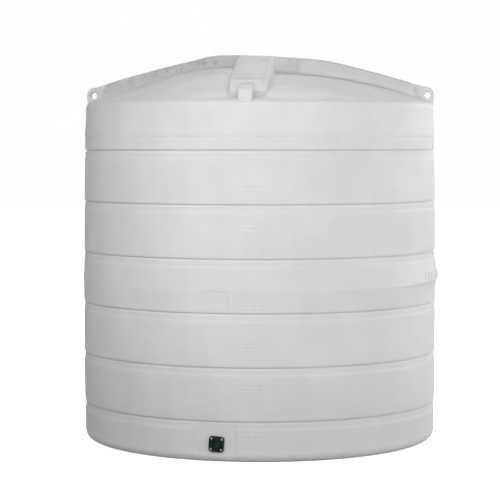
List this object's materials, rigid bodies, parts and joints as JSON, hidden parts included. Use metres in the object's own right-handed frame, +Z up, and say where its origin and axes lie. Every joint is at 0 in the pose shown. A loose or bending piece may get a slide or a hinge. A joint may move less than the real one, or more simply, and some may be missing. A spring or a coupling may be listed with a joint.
{
  "type": "vertical storage tank",
  "caption": "Vertical moulded storage tank with grooved round walls, a domed roof with box ribs, tie-down lugs at the eave and a bolted outlet flange low on the wall.",
  "frame": {"origin": "centre of the base, on the surface the tank stands on", "axes": "+Z up along the tank's axis; the ribs and lugs lie on the X and Y axes; the outlet faces close to -Y"},
  "size_m": [3.0709, 3.058, 3.3],
  "materials": {
    "white_polyethylene": "satin natural white polyethylene",
    "black_fitting": "satin black polypropylene",
    "green_plug": "dark green plastic",
    "gasket_rubber": "black rubber",
    "bolt_steel": "stainless steel"
  },
  "bodies": {
    "root": {"base_floor": "white_polyethylene", "crown": "white_polyethylene", "manway_lid": "white_polyethylene", "manway_neck": "white_polyethylene", "manway_vent": "white_polyethylene", "outlet_bolt_1": "bolt_steel", "outlet_bolt_2": "bolt_steel", "outlet_bolt_3": "bolt_steel", "outlet_bolt_4": "bolt_steel", "outlet_flange": "black_fitting", "outlet_gasket": "gasket_rubber", "outlet_lip": "black_fitting", "outlet_plug": "green_plug", "rib_front": "white_polyethylene", "rib_left": "white_polyethylene", "rib_rear": "white_polyethylene", "rib_right": "white_polyethylene", "roof_front_left": "white_polyethylene", "roof_front_right": "white_polyethylene", "roof_rear_left": "white_polyethylene", "roof_rear_right": "white_polyethylene", "tie_down_lug_front": "white_polyethylene", "tie_down_lug_left": "white_polyethylene", "tie_down_lug_rear": "white_polyethylene", "tie_down_lug_right": "white_polyethylene", "wall_band_1": "white_polyethylene", "wall_band_2": "white_polyethylene", "wall_band_3": "white_polyethylene", "wall_band_4": "white_polyethylene", "wall_band_5": "white_polyethylene", "wall_band_6": "white_polyethylene", "wall_band_7": "white_polyethylene"}
  },
  "joints": []
}
